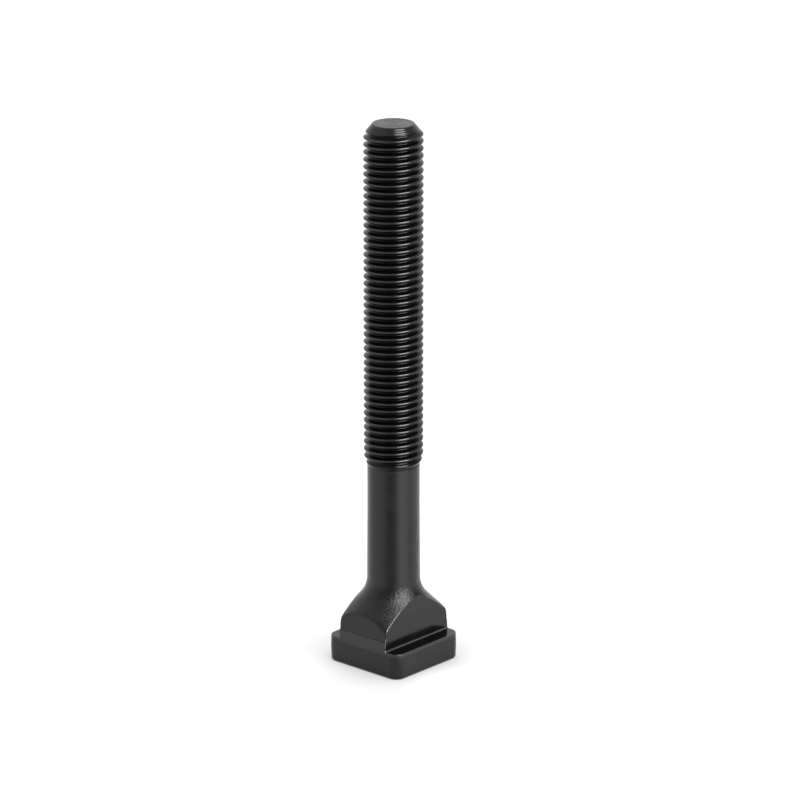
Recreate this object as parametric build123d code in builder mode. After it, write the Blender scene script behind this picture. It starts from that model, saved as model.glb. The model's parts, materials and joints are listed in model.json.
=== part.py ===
"""T-slot bolt: a hot-forged square head with a milled neck, a round shank and a threaded end.

The bolt stands on its head. The origin is the centre of the head's underside and +Z runs up
the shank to the threaded end. X crosses the slot, so the two clamping shoulders stick out
along -X and +X, and Y runs along the slot. All sizes are millimetres.

The threaded length is a plain cylinder at the thread's outer diameter, with the true end
chamfer and the true run-out.
"""

from build123d import *

import os
from math import cos, hypot, radians, sin, tan

# Threaded end, metric coarse
thread_diameter = 16.0
end_face_diameter = 11.2
end_chamfer_height = 3.05
full_thread_height = 59.2
runout_length = 5.0

# Shank, slightly drafted toward the head
overall_length = 150.0
shank_diameter = 14.1
shank_root_diameter = 14.4
shank_draft_height = 45.0

# Head plate, the part of the head that the slot holds down
plate_width = 25.9
plate_corner_radius = 3.0
plate_parting_height = 4.1
plate_draft = 2.0
plate_bottom_edge_radius = 0.7
shoulder_height = 7.25
shoulder_edge_radius = 0.25
shoulder_root_radius = 0.4

# Forged step above the plate, left standing at the two ends that face along the slot
step_foot_height = 6.5
step_height = 9.85
step_draft = 4.5

# Neck, the block that fills the mouth of the slot
neck_width = 16.7
neck_top_length = 24.6
neck_corner_height = 12.9
neck_draft = 4.0
neck_brow_radius = 2.5
neck_edge_radius = 0.3

# Flare, the forged cone that carries the neck up into the shank
flare_angle = 45.0
flare_root_radius = 8.0

thread_radius = thread_diameter / 2
shank_radius = shank_diameter / 2
shank_root_radius = shank_root_diameter / 2
half_neck_width = neck_width / 2
half_top_length = neck_top_length / 2

# The neck is built from halfway up the step
neck_foot_height = (shoulder_height + step_height) / 2

# The flare's cone passes through the neck's four top corners
neck_corner_reach = hypot(half_neck_width, half_top_length)
flare_slope = tan(radians(flare_angle))
flare_apex_height = neck_corner_height + neck_corner_reach / flare_slope
flare_foot_radius = (flare_apex_height - neck_foot_height) * flare_slope

# The neck's two ends lean inward all the way up, and at the apex's height they clear the shank
neck_lean = tan(radians(neck_draft))
neck_foot = half_top_length + (neck_corner_height - neck_foot_height) * neck_lean
neck_peak = half_top_length - (flare_apex_height - neck_corner_height) * neck_lean

# Where the flare's root arc touches the shank and the cone
root_corner_height = flare_apex_height - shank_root_radius / flare_slope
root_tangent = flare_root_radius * tan(radians(flare_angle) / 2)
root_top = (shank_root_radius, root_corner_height + root_tangent)
root_foot = (
    shank_root_radius + root_tangent * sin(radians(flare_angle)),
    root_corner_height - root_tangent * cos(radians(flare_angle)),
)

with BuildPart() as neck_and_shank:
    # Shank, threaded end and flare, turned about the bolt's axis
    with BuildSketch(Plane.XZ):
        with BuildLine():
            Polyline(
                root_top,
                (shank_radius, shank_draft_height),
                (shank_radius, full_thread_height - runout_length),
                (thread_radius, full_thread_height),
                (thread_radius, overall_length - end_chamfer_height),
                (end_face_diameter / 2, overall_length),
                (0, overall_length),
                (0, neck_foot_height),
                (flare_foot_radius, neck_foot_height),
                root_foot,
            )
            TangentArc(root_top, root_foot, tangent=(0, -1))
        make_face()
    revolve(axis=Axis.Z)

    # The neck's view along X trims the two ends, and its width gives the two milled flanks
    with BuildSketch(Plane.YZ):
        with BuildLine():
            Polyline(
                (0, neck_foot_height),
                (neck_foot, neck_foot_height),
                (neck_peak, flare_apex_height),
                (neck_peak, overall_length),
                (0, overall_length),
            )
            mirror(about=Plane.YZ)
        make_face()
    extrude(amount=half_neck_width, both=True, mode=Mode.INTERSECT)

    # Soft brow where each end of the neck turns into the flare
    flat_faces = neck_and_shank.faces().filter_by(GeomType.PLANE).sort_by(Axis.Y)
    neck_ends = [flat_faces[0], flat_faces[-1]]
    fillet([end.edges().sort_by(Axis.Z)[-1] for end in neck_ends], neck_brow_radius)

    # Broken edges all round the two flanks, apart from their feet
    flanks = neck_and_shank.faces().filter_by(Axis.X)
    fillet(flanks.edges().sort_by(Axis.Z)[2:], neck_edge_radius)

with BuildPart() as bolt:
    # Forged plate: a rounded square that narrows both ways from the parting line
    with BuildSketch(Plane.XY.offset(plate_parting_height)) as parting_outline:
        RectangleRounded(plate_width, plate_width, plate_corner_radius)
    extrude(amount=step_foot_height - plate_parting_height, taper=plate_draft)
    extrude(bolt.faces().sort_by(Axis.Z)[-1], amount=step_height - step_foot_height, taper=step_draft)
    extrude(parting_outline.sketch, amount=-plate_parting_height, taper=plate_draft)
    fillet(bolt.faces().sort_by(Axis.Z)[0].edges(), plate_bottom_edge_radius)

    # Milled shoulders on both sides, each with the cutter's corner radius at its root
    with BuildSketch(Plane.XZ):
        with Locations((half_neck_width, shoulder_height)):
            Rectangle(plate_width, plate_width, align=(Align.MIN, Align.MIN))
        fillet(vertices().sort_by(Axis.X)[:2].sort_by(Axis.Y)[0], shoulder_root_radius)
        mirror(about=Plane.YZ)
    extrude(amount=plate_width, both=True, mode=Mode.SUBTRACT)

    # Broken edge all round each cut: its outline, without the lines along the root and the step's top
    cut_lines = edges(Select.LAST).filter_by_position(
        Axis.Z, shoulder_height, step_height, inclusive=(True, False)
    )
    root_lines = cut_lines.filter_by(Axis.Y).filter_by_position(
        Axis.X, -plate_width / 2 + plate_corner_radius, plate_width / 2 - plate_corner_radius
    )
    fillet(cut_lines.filter_by(lambda line: line not in root_lines), shoulder_edge_radius)

    add(neck_and_shank.part)

bolt.part.label = "t_slot_bolt"
os.makedirs("parts", exist_ok=True)
export_step(bolt.part, "parts/t_slot_bolt.step")
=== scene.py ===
"""T-slot bolt in black-oxide steel, standing on its square head in plain studio light.

The head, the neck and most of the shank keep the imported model's shape. The rolled thread is
one helical surface that runs on from the shank, so the whole bolt is a single closed mesh.
Lengths are metres, written as millimetres times mm, and angles are degrees.
"""

import json
from math import cos, pi, radians, sin, tan

import bmesh
import bpy
import numpy as np
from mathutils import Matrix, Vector


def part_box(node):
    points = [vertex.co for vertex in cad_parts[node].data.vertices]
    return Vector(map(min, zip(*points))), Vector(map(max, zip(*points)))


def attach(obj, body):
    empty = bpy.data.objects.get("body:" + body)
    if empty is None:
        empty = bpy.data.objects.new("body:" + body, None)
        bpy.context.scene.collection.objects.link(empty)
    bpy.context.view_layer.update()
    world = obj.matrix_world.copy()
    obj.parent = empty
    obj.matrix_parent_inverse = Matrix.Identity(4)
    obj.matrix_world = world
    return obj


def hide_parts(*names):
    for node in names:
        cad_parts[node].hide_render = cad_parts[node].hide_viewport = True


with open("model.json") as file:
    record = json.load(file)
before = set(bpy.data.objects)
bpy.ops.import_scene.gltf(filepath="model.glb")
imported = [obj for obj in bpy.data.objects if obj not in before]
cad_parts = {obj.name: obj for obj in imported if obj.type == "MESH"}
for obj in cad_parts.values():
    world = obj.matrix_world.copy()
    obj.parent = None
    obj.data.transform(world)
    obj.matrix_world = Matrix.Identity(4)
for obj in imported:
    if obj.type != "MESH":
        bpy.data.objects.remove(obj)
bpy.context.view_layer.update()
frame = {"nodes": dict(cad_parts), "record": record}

# Head, neck and shank: one hot forging in medium-carbon steel, with its skin left on. Its
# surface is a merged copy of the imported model, up to the ring where the shank's draft ends.
mm = 0.001
weld_distance = 0.001 * mm
shank_draft_height = 45.0 * mm

bolt_shape = bmesh.new()
bolt_shape.from_mesh(frame["nodes"]["t_slot_bolt"].data)
bmesh.ops.remove_doubles(bolt_shape, verts=bolt_shape.verts, dist=weld_distance)
threaded_end = [point for point in bolt_shape.verts if point.co.z > shank_draft_height + weld_distance]
bmesh.ops.delete(bolt_shape, geom=threaded_end, context="VERTS")

# Rolled thread: metric coarse, right-hand, pressed into the blank between flat dies. The
# crests fade into the shank over the run-out, and the end chamfer cuts through the last ones.
# The crest phase is the height of a crest above a whole number of pitches, on the +X side.
mounts = {mount["name"]: mount for mount in frame["record"]["mounts"]}
thread_radius = mounts["thread"]["dims"]["r_mm"] * mm
thread_pitch = 2.0 * mm
thread_depth = 0.6134 * thread_pitch
flank_lean = 30.0
crest_half_width = thread_pitch / 16
crest_rounding = 0.03 * mm
root_rounding = 0.22 * mm
crest_phase = 1.1 * mm
shank_radius = 7.05 * mm
runout_foot_height = 55.0 * mm
runout_length = 4.2 * mm
bolt_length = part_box("t_slot_bolt")[1][2]
chamfer_length = 2.8 * mm
end_face_radius = 5.6 * mm

columns = 84
rows_per_turn = 16
row_crowding = 0.6
spare_turns = 3
first_ring_height = shank_draft_height + 2.0 * mm
thread_foot_height = runout_foot_height - 1.0 * mm


def soft_lower(a, b, rounding):
    """The lower of a and b, with the corner between them rounded: half of their sum, less half
    the root of their difference squared plus the rounding squared."""
    return (a + b - np.sqrt((a - b) ** 2 + rounding**2)) / 2


def thread_profile(offset):
    """Radius at an axial offset from the nearest crest. Each flank falls from the crest's flat
    by the offset over the tangent of its lean, and the crest's corners and the root are rounded."""
    flank = thread_radius - (np.abs(offset) - crest_half_width) / tan(radians(flank_lean))
    root = thread_radius - thread_depth
    above_root = -soft_lower(-flank, -root, root_rounding)
    return soft_lower(above_root, thread_radius, crest_rounding)


def chamfer_cone(height):
    """Radius of the end chamfer: the end face's radius, plus the depth below the end times the
    cone's slope."""
    slope = (thread_radius - end_face_radius) / chamfer_length
    return end_face_radius + (bolt_length - height) * slope


def thread_surface():
    """Points of the thread as rows along the helix and columns round the axis. A row keeps its
    place on the profile and climbs one pitch in each turn, so the seam meets the row one turn
    above. A sine of its share of a turn crowds the rows together at the crest and at the root.
    At both ends the rows are clipped to level rings. Over the run-out the radius leaves the
    shank's by three squares less two cubes of the share risen, and at the end the chamfer's
    cone limits it. A point is the radius times the cosine and sine of its angle."""
    turns = int((bolt_length - thread_foot_height) / thread_pitch) + spare_turns
    share = np.arange(-rows_per_turn, turns * rows_per_turn) / rows_per_turn
    crowded = share - row_crowding * np.sin(4 * pi * share) / (4 * pi)
    around = np.linspace(0, 1, columns + 1)
    pitches_below = np.floor((thread_foot_height - crest_phase) / thread_pitch)
    first_crest = pitches_below * thread_pitch + crest_phase
    height = first_crest + thread_pitch * (crowded[:, None] + around[None, :])
    offset = thread_pitch * (crowded - np.round(crowded))
    full_radius = np.repeat(thread_profile(offset)[:, None], columns + 1, axis=1)

    height = np.clip(height, thread_foot_height, bolt_length)
    risen = np.clip((height - runout_foot_height) / runout_length, 0, 1)
    fade = risen * risen * (3 - 2 * risen)
    faded_radius = shank_radius + (full_radius - shank_radius) * fade
    radius = np.minimum(faded_radius, chamfer_cone(height))

    angle = 2 * pi * around[None, :]
    return np.stack([radius * np.cos(angle), radius * np.sin(angle), height], axis=-1)


def level_rings(radii, height):
    """Closed rings of points at one height: each radius times the cosine and sine of the angle."""
    angle = np.linspace(0, 2 * pi, columns + 1)[None, :]
    radius = np.array(radii)[:, None]
    level = np.full((len(radii), columns + 1), height)
    return np.stack([radius * np.cos(angle), radius * np.sin(angle), level], axis=-1)


def grid_faces(rows, across):
    """Quads between neighbouring rows: each takes a point, the next one in its row, and the same
    two one row above. Points are numbered row by row, so a row above adds the row's length."""
    near = np.arange(rows - 1)[:, None] * across + np.arange(across - 1)[None, :]
    return np.stack([near, near + 1, near + across + 1, near + across], axis=-1).reshape(-1, 4)


# The grid starts on the shank, winds up the thread and closes across the end face. It is then
# joined to the forging, and the gap between the two open rings is bridged.
end_face_rings = [share * end_face_radius for share in (0.92, 0.6, 0.25, 0.0)]
thread_grid = np.concatenate([
    level_rings([shank_radius], first_ring_height),
    thread_surface(),
    level_rings(end_face_rings, bolt_length),
])
thread_mesh = bpy.data.meshes.new("thread")
thread_faces = grid_faces(len(thread_grid), columns + 1)
thread_mesh.from_pydata(thread_grid.reshape(-1, 3).tolist(), [], thread_faces.tolist())
bolt_shape.from_mesh(thread_mesh)
bpy.data.meshes.remove(thread_mesh)
sliver_length = weld_distance / 10
bmesh.ops.remove_doubles(bolt_shape, verts=bolt_shape.verts, dist=weld_distance)
bmesh.ops.dissolve_degenerate(bolt_shape, edges=bolt_shape.edges, dist=sliver_length)
bmesh.ops.bridge_loops(bolt_shape, edges=[edge for edge in bolt_shape.edges if edge.is_boundary])
bmesh.ops.triangulate(bolt_shape, faces=[face for face in bolt_shape.faces if len(face.verts) > 4])
bmesh.ops.recalc_face_normals(bolt_shape, faces=bolt_shape.faces)

sharp_edge_angle = 50.0
bolt_mesh = bpy.data.meshes.new("bolt")
bolt_shape.to_mesh(bolt_mesh)
bolt_shape.free()
bolt = bpy.data.objects.new("bolt", bolt_mesh)
bpy.context.scene.collection.objects.link(bolt)
bolt_mesh.shade_smooth()
bolt_mesh.set_sharp_from_angle(angle=radians(sharp_edge_angle))
level_faces = bolt.modifiers.new("level_faces", "WEIGHTED_NORMAL")
level_faces.keep_sharp = True

# Black oxide: the whole bolt is dipped in a hot salt bath and oiled. The finish is duller on
# the forged skin, glossy on the two milled sides, and darkest on the rolled thread.
oxide_color = (0.0030, 0.0030, 0.0027)
thread_oxide_color = (0.001, 0.001, 0.001)
patch_size = 4.0 * mm
patch_start = 0.3
patch_end = 0.7


def ramped(tree, value, *stops):
    """A colour read off a ramp at the value. Each stop is a position from 0 to 1 and the colour
    there, and the stops are in order."""
    ramp = tree.nodes.new("ShaderNodeValToRGB")
    elements = ramp.color_ramp.elements
    for element, (position, color) in zip(elements, (stops[0], stops[-1])):
        element.position = position
        element.color = (*color, 1)
    for position, color in stops[1:-1]:
        elements.new(position).color = (*color, 1)
    tree.links.new(value, ramp.inputs["Fac"])
    return ramp.outputs["Color"]


def mapped(tree, value, start, end, low=0.0, high=1.0):
    """A number that runs from low to high as the value runs from start to end, and is held level
    before and after."""
    mapping = tree.nodes.new("ShaderNodeMapRange")
    mapping.inputs["From Min"].default_value = start
    mapping.inputs["From Max"].default_value = end
    mapping.inputs["To Min"].default_value = low
    mapping.inputs["To Max"].default_value = high
    tree.links.new(value, mapping.inputs["Value"])
    return mapping.outputs["Result"]


def blackened(name, base_color, roughness, grain_size, grain_depth, gloss_index):
    """Black oxide on steel: a nearly black base under a thin oily gloss. Fine noise lifts the
    grain, and a slower noise varies the roughness and the shade of the oxide in soft patches."""
    material = bpy.data.materials.new(name)
    material.use_nodes = True
    tree = material.node_tree
    shader = tree.nodes["Principled BSDF"]
    shader.inputs["IOR"].default_value = gloss_index
    place = tree.nodes.new("ShaderNodeTexCoord").outputs["Object"]

    grain = tree.nodes.new("ShaderNodeTexNoise")
    grain.inputs["Scale"].default_value = 1 / grain_size
    grain.inputs["Detail"].default_value = 4.0
    grain.inputs["Roughness"].default_value = 0.6
    tree.links.new(place, grain.inputs["Vector"])
    relief = tree.nodes.new("ShaderNodeBump")
    relief.name = "relief"
    relief.inputs["Distance"].default_value = grain_depth
    tree.links.new(grain.outputs["Fac"], relief.inputs["Height"])
    tree.links.new(relief.outputs["Normal"], shader.inputs["Normal"])

    patches = tree.nodes.new("ShaderNodeTexNoise")
    patches.inputs["Scale"].default_value = 1 / patch_size
    patches.inputs["Detail"].default_value = 3.0
    tree.links.new(place, patches.inputs["Vector"])
    darker = [0.7 * channel for channel in base_color]
    paler = [1.3 * channel for channel in base_color]
    shade = ramped(tree, patches.outputs["Fac"], (patch_start, darker), (patch_end, paler))
    shade.node.name = "shade"
    tree.links.new(shade, shader.inputs["Base Color"])
    smoother = 0.85 * roughness
    rougher = 1.15 * roughness
    dullness = mapped(tree, patches.outputs["Fac"], patch_start, patch_end, smoother, rougher)
    tree.links.new(dullness, shader.inputs["Roughness"])
    return material


forged_skin = blackened(
    "forged_skin", oxide_color, roughness=0.26, grain_size=0.6 * mm, grain_depth=0.16 * mm, gloss_index=1.39
)
milled_side = blackened(
    "milled_side", oxide_color, roughness=0.16, grain_size=0.4 * mm, grain_depth=0.0005 * mm, gloss_index=1.4
)
rubbed_edge = blackened(
    "rubbed_edge", oxide_color, roughness=0.28, grain_size=0.4 * mm, grain_depth=0.002 * mm, gloss_index=2.3
)
rolled_thread = blackened(
    "rolled_thread", thread_oxide_color, roughness=0.17,
    grain_size=0.3 * mm, grain_depth=0.0005 * mm, gloss_index=1.28,
)
turned_end = blackened(
    "turned_end", oxide_color, roughness=0.19, grain_size=0.8 * mm, grain_depth=0.006 * mm, gloss_index=1.4
)

# Turned end: the end face and its chamfer are cut on a lathe, and the feed leaves fine rings
# round the axis. The wave repeats every pi over ten times its scale.
feed = 0.4 * mm
feed_depth = 0.03 * mm
feed_wander = 0.4


def place_across(tree):
    """Object coordinates times (1, 1, 0): a point's place across the axis, without its height."""
    place = tree.nodes.new("ShaderNodeTexCoord")
    flattened = tree.nodes.new("ShaderNodeVectorMath")
    flattened.operation = "MULTIPLY"
    flattened.inputs[1].default_value = (1, 1, 0)
    tree.links.new(place.outputs["Object"], flattened.inputs[0])
    return flattened.outputs["Vector"]


end_tree = turned_end.node_tree
feed_rings = end_tree.nodes.new("ShaderNodeTexWave")
feed_rings.wave_type = "RINGS"
feed_rings.rings_direction = "Z"
feed_rings.inputs["Scale"].default_value = pi / (10 * feed)
feed_rings.inputs["Distortion"].default_value = feed_wander
end_tree.links.new(place_across(end_tree), feed_rings.inputs["Vector"])
feed_relief = end_tree.nodes.new("ShaderNodeBump")
feed_relief.inputs["Distance"].default_value = feed_depth
end_tree.links.new(feed_rings.outputs["Fac"], feed_relief.inputs["Height"])
end_tree.links.new(end_tree.nodes["relief"].outputs["Normal"], feed_relief.inputs["Normal"])
end_tree.links.new(feed_relief.outputs["Normal"], end_tree.nodes["Principled BSDF"].inputs["Normal"])

# Burnished crests: the oxide is rubbed thin there, so the thread turns from black to dark metal
# over its outermost part.
burnish_start = thread_radius - 0.3 * mm
burnish_full = thread_radius - 0.05 * mm
bare_steel_color = (0.052, 0.052, 0.050)


def length_of(tree, vector):
    """The length of a vector."""
    measure = tree.nodes.new("ShaderNodeVectorMath")
    measure.operation = "LENGTH"
    tree.links.new(vector, measure.inputs[0])
    return measure.outputs["Value"]


thread_tree = rolled_thread.node_tree
thread_shader = thread_tree.nodes["Principled BSDF"]
distance_from_axis = length_of(thread_tree, place_across(thread_tree))
burnish = mapped(thread_tree, distance_from_axis, burnish_start, burnish_full)
thread_color = ramped(thread_tree, burnish, (0, thread_oxide_color), (1, bare_steel_color))
thread_tree.links.new(burnish, thread_shader.inputs["Metallic"])
thread_tree.links.new(thread_color, thread_shader.inputs["Base Color"])

# Forging scale: it is coarsest on the flare, and the head plate and the shank are nearly clean.
# The share is how much of the skin's relief stays, from below the flare to above it.
scale_foot_height = 10.0 * mm
scale_top_height = 26.0 * mm
clean_share = 0.05


def grey(level):
    """A grey: the same level of red, green and blue."""
    return (level, level, level)


skin_tree = forged_skin.node_tree
skin_place = skin_tree.nodes.new("ShaderNodeTexCoord")
skin_axes = skin_tree.nodes.new("ShaderNodeSeparateXYZ")
skin_tree.links.new(skin_place.outputs["Object"], skin_axes.inputs["Vector"])
skin_height = skin_axes.outputs["Z"]
scale_share = ramped(
    skin_tree,
    mapped(skin_tree, skin_height, scale_foot_height, scale_top_height),
    (0, grey(clean_share)),
    (0.3, grey(1)),
    (0.7, grey(1)),
    (1, grey(clean_share)),
)
skin_tree.links.new(scale_share, skin_tree.nodes["relief"].inputs["Strength"])

# Painted light on the step: the step round the two ends of the plate is painted paler, for the
# light that it catches. Its ramp runs from the underside to twice the step's height.
step_foot_height = 6.5 * mm
step_height = 9.85 * mm
step_light_color = (0.016, 0.016, 0.015)
ramp_height = 2 * step_height
foot_blur = 0.2 * mm
top_blur_share = 0.01
step_top_share = step_height / ramp_height
step_light_share = ramped(
    skin_tree,
    mapped(skin_tree, skin_height, 0, ramp_height),
    ((step_foot_height - foot_blur) / ramp_height, grey(0)),
    ((step_foot_height + foot_blur) / ramp_height, grey(1)),
    (step_top_share - top_blur_share, grey(1)),
    (step_top_share, grey(0)),
)
# The painted light: the paler colour is mixed over the oxide's shade on the step.
step_light_mix = skin_tree.nodes.new("ShaderNodeMix")
step_light_mix.data_type = "RGBA"
step_light_mix.inputs["B"].default_value = (*step_light_color, 1)
skin_tree.links.new(step_light_share, step_light_mix.inputs["Factor"])
skin_tree.links.new(skin_tree.nodes["shade"].outputs["Color"], step_light_mix.inputs["A"])
skin_tree.links.new(step_light_mix.outputs["Result"], skin_tree.nodes["Principled BSDF"].inputs["Base Color"])

# The finish goes by place: the cutter's path beside the neck, its broken edges and root corners,
# then the thread, and the end face with its chamfer.
flank_reach = mounts["flank_right"]["pos_m"][0]
shoulder_height = mounts["shoulder_right"]["pos_m"][2]
cut_tolerance = 0.05 * mm
chamfer_tolerance = 0.03 * mm
thread_finish_height = runout_foot_height + 0.8 * mm
square_on = 0.98
tilted = 0.12


def face_vectors(name):
    """One vector for each face of the bolt, as three rows of numbers: across, along and up."""
    values = np.empty(3 * len(bolt_mesh.polygons))
    bolt_mesh.polygons.foreach_get(name, values)
    return values.reshape(-1, 3).T


across, along, up = face_vectors("center")
facing_across, _, facing_up = np.abs(face_vectors("normal"))
in_cutter_path = (np.abs(across) > flank_reach - cut_tolerance) & (up > shoulder_height - cut_tolerance)
on_edge = in_cutter_path & (facing_across < square_on) & (facing_up > tilted) & (facing_up < square_on)
on_thread = up > thread_finish_height
on_chamfer = on_thread & (np.hypot(across, along) > chamfer_cone(up) - chamfer_tolerance)
on_end_face = up > bolt_length - weld_distance

finishes = [forged_skin, milled_side, rubbed_edge, rolled_thread, turned_end]
for material in finishes:
    bolt_mesh.materials.append(material)
finish = np.select(
    [on_chamfer | on_end_face, on_thread, on_edge, in_cutter_path],
    [finishes.index(material) for material in (turned_end, rolled_thread, rubbed_edge, milled_side)],
    finishes.index(forged_skin),
)
bolt_mesh.polygons.foreach_set("material_index", finish.astype(np.int32))

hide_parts("t_slot_bolt")
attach(bolt, "root")

# Floor: a sheet of white acrylic lit from below, wide enough to fill the view. It glows
# almost white by itself, so the bolt casts only a faint shade, and a painted shade darkens it round the
# foot.
floor_half_width = 4000.0 * mm
bpy.ops.mesh.primitive_plane_add(size=2 * floor_half_width, location=(0, 0, 0))
floor = bpy.context.object
floor.name = "floor"
acrylic = bpy.data.materials.new("acrylic")
acrylic.use_nodes = True
acrylic_tree = acrylic.node_tree
acrylic_shader = acrylic_tree.nodes["Principled BSDF"]
acrylic_shader.inputs["Base Color"].default_value = (0.06, 0.06, 0.06, 1)
acrylic_shader.inputs["Roughness"].default_value = 0.8
acrylic_shader.inputs["Specular IOR Level"].default_value = 0.0
acrylic_shader.inputs["Emission Color"].default_value = (1, 1, 1, 1)

# Painted light in the sheet: away from the bolt an extra glow is painted, strongest to the right of
# the camera. The camera sees that as plain white, and the shank and the crests mirror it.
camera_azimuth = 42.0
even_glow = 0.9
faint_glow = 0.12
extra_glow_start = 10.0 * mm
extra_glow_full = 60.0 * mm


def glow_stop(azimuth, strength):
    """The extra glow in one direction, counted from the camera toward the picture's right. The
    ramp runs once round from -X, so the position is the angle from -X as a share of a turn."""
    position = (camera_azimuth + azimuth - 90) / 360 + 0.5
    return (position, grey(strength))


acrylic_place = acrylic_tree.nodes.new("ShaderNodeTexCoord").outputs["Object"]
glow_angle = acrylic_tree.nodes.new("ShaderNodeTexGradient")
glow_angle.gradient_type = "RADIAL"
acrylic_tree.links.new(acrylic_place, glow_angle.inputs["Vector"])
# The painted pool of light: extra glow by direction round the bolt.
extra_glow = ramped(
    acrylic_tree,
    glow_angle.outputs["Fac"],
    (0, grey(faint_glow)),
    glow_stop(-110, faint_glow),
    glow_stop(-65, 0.35),
    glow_stop(-28, 0.05),
    glow_stop(2, 0.05),
    glow_stop(36, 1.4),
    glow_stop(80, 0.3),
    glow_stop(120, faint_glow),
    (1, grey(faint_glow)),
)
extra_glow.node.color_ramp.interpolation = "EASE"
floor_distance = length_of(acrylic_tree, acrylic_place)
extra_share = mapped(acrylic_tree, floor_distance, extra_glow_start, extra_glow_full)
whole_glow = acrylic_tree.nodes.new("ShaderNodeMath")
whole_glow.operation = "MULTIPLY_ADD"
whole_glow.inputs[2].default_value = even_glow
acrylic_tree.links.new(extra_glow, whole_glow.inputs[0])
acrylic_tree.links.new(extra_share, whole_glow.inputs[1])

# Contact shade, painted: an occlusion test dims the sheet's glow close to the bolt's foot, a painted
# shadow. The ramp lightens the middle of that shade, so only a narrow rim round the head stays dark.
contact_reach = 14.0 * mm


def product(tree, first, second):
    """The product of two numbers."""
    multiply = tree.nodes.new("ShaderNodeMath")
    multiply.operation = "MULTIPLY"
    tree.links.new(first, multiply.inputs[0])
    tree.links.new(second, multiply.inputs[1])
    return multiply.outputs["Value"]


contact = acrylic_tree.nodes.new("ShaderNodeAmbientOcclusion")
contact.samples = 8
contact.inputs["Distance"].default_value = contact_reach
# The painted shadow: the glow is scaled down where the bolt is near.
painted_contact_shade = ramped(acrylic_tree, contact.outputs["AO"], (0, grey(0)), (0.5, grey(0.65)), (1, grey(1)))
shaded_glow = product(acrylic_tree, whole_glow.outputs["Value"], painted_contact_shade)
acrylic_tree.links.new(shaded_glow, acrylic_shader.inputs["Emission Strength"])
floor.data.materials.append(acrylic)

# Grey card: it lies on the sheet in front of the bolt and a little to the left. It glows a dim grey
# and shows only in the bolt's reflections, a painted reflection that draws the dark band down the
# shank. The lens doesn't see it, and it casts no shadow.
card_height = 1.0 * mm
card_left_azimuth = -30.0
card_right_azimuth = 11.0
card_near = 62.0 * mm
card_far = 200.0 * mm
camera_turn = radians(camera_azimuth)
toward_camera = Vector((sin(camera_turn), -cos(camera_turn), 0))
camera_right = Vector((cos(camera_turn), sin(camera_turn), 0))


def outward(azimuth, elevation=0.0):
    """Unit vector away from the bolt. Azimuth is counted from the camera toward the picture's
    right and elevation from the level, and each gives a cosine and a sine share."""
    turn = radians(azimuth)
    rise = radians(elevation)
    level = toward_camera * cos(turn) + camera_right * sin(turn)
    return level * cos(rise) + Vector((0, 0, sin(rise)))


card_outline = [
    outward(card_left_azimuth) * card_near,
    outward(card_left_azimuth) * card_far,
    outward(card_right_azimuth) * card_far,
    outward(card_right_azimuth) * card_near,
]
card_corners = [(corner.x, corner.y, card_height) for corner in card_outline]
card_mesh = bpy.data.meshes.new("grey_card")
card_mesh.from_pydata(card_corners, [], [(0, 1, 2, 3)])
grey_card = bpy.data.objects.new("grey_card", card_mesh)
card_glow = bpy.data.materials.new("card_glow")
card_glow.use_nodes = True
card_glow_shader = card_glow.node_tree.nodes["Principled BSDF"]
card_glow_shader.inputs["Base Color"].default_value = (0, 0, 0, 1)
card_glow_shader.inputs["Specular IOR Level"].default_value = 0.0
# The card's painted glow, seen only in reflections.
card_glow_shader.inputs["Emission Color"].default_value = (1, 1, 1, 1)
card_glow_shader.inputs["Emission Strength"].default_value = 0.5
card_mesh.materials.append(card_glow)
grey_card.visible_camera = False
grey_card.visible_shadow = False
grey_card.visible_diffuse = False
bpy.context.scene.collection.objects.link(grey_card)

# Camera: a long lens that looks down on the bolt, at the photograph's angle. It aims at a point
# halfway up the bolt and a little to the right of the axis.
camera_pitch = 17.9
camera_distance = 1200.0 * mm
beside_axis = 1.74 * mm
aim_height = 73.73 * mm
aim = camera_right * beside_axis + Vector((0, 0, aim_height))
camera_data = bpy.data.cameras.new("camera")
camera_data.lens = 201.9
camera_data.sensor_width = 36.0
camera = bpy.data.objects.new("camera", camera_data)
camera.location = aim + outward(azimuth=0, elevation=camera_pitch) * camera_distance
camera.rotation_euler = (aim - camera.location).to_track_quat("-Z", "Y").to_euler()
bpy.context.scene.collection.objects.link(camera)
bpy.context.scene.camera = camera

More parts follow.
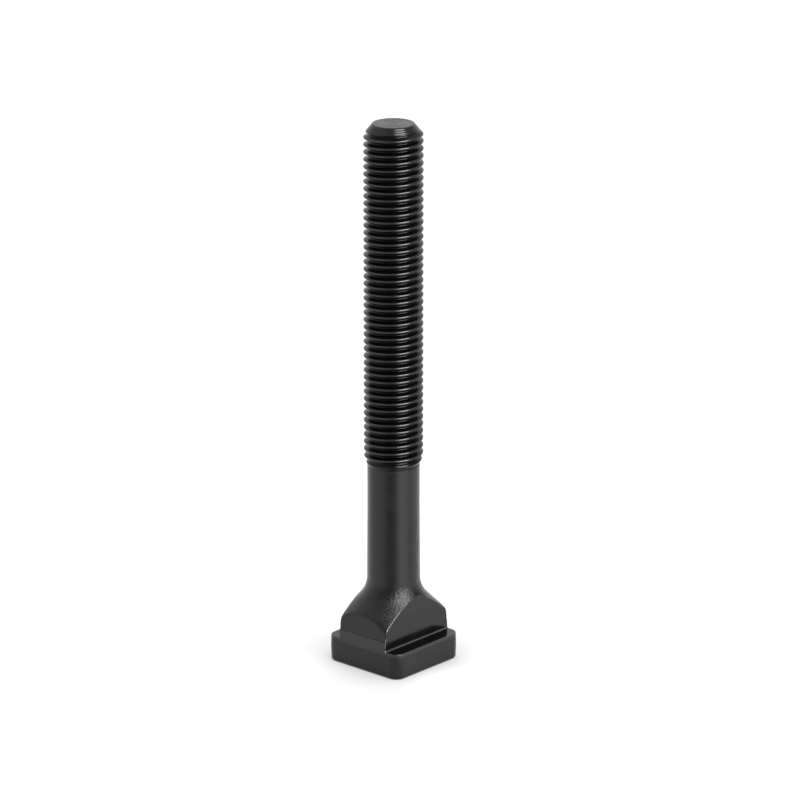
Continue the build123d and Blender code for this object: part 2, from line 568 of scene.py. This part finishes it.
# Key light: one tall soft box stands high to the right of the camera and faces the bolt. It
# draws the highlights on the crests, the flare and the head's edges.
key_distance = 900.0 * mm
key_aim = Vector((0, 0, 60.0 * mm))
key_data = bpy.data.lights.new("key_box", "AREA")
key_data.shape = "RECTANGLE"
key_data.size = 600.0 * mm
key_data.size_y = 1100.0 * mm
key_data.energy = 22
key_box = bpy.data.objects.new("key_box", key_data)
key_box.location = key_aim + outward(azimuth=42, elevation=36) * key_distance
key_box.rotation_euler = (key_aim - key_box.location).to_track_quat("-Z", "Y").to_euler()
key_box.visible_camera = False
bpy.context.scene.collection.objects.link(key_box)

# Studio: the surround is pale all round and dark straight overhead. A black card stands at the
# right, a little above the horizon, and keeps the milled side dark. The room behind the camera
# is dark as well, a little to its left.
pale_below = 0.90
dark_above = 0.98
studio = bpy.data.worlds.new("studio")
studio.use_nodes = True
bpy.context.scene.world = studio
sky_tree = studio.node_tree
backdrop = sky_tree.nodes["Background"]
direction = sky_tree.nodes.new("ShaderNodeTexCoord").outputs["Generated"]
sky_axes = sky_tree.nodes.new("ShaderNodeSeparateXYZ")
sky_tree.links.new(direction, sky_axes.inputs["Vector"])
surround = ramped(sky_tree, sky_axes.outputs["Z"], (pale_below, grey(0.9)), (dark_above, grey(0.1)))
sky_tree.links.new(surround, backdrop.inputs["Color"])


def dark_patch(azimuth, elevation, core_angle, rim_angle, darkest):
    """Share of the surround's light near one direction, from the cosine of the angle to it: the
    darkest share inside the core angle, and all the light outside the rim angle."""
    toward_patch = sky_tree.nodes.new("ShaderNodeVectorMath")
    toward_patch.operation = "DOT_PRODUCT"
    toward_patch.inputs[1].default_value = outward(azimuth, elevation)
    sky_tree.links.new(direction, toward_patch.inputs[0])
    rim = cos(radians(rim_angle))
    core = cos(radians(core_angle))
    return mapped(sky_tree, toward_patch.outputs["Value"], rim, core, 1.0, darkest)


black_card = dark_patch(azimuth=96, elevation=16, core_angle=15, rim_angle=34, darkest=0.1)
dark_room = dark_patch(azimuth=-17, elevation=0, core_angle=15, rim_angle=50, darkest=0.0)
sky_tree.links.new(product(sky_tree, black_card, dark_room), backdrop.inputs["Strength"])

bpy.context.scene.view_settings.view_transform = "Standard"
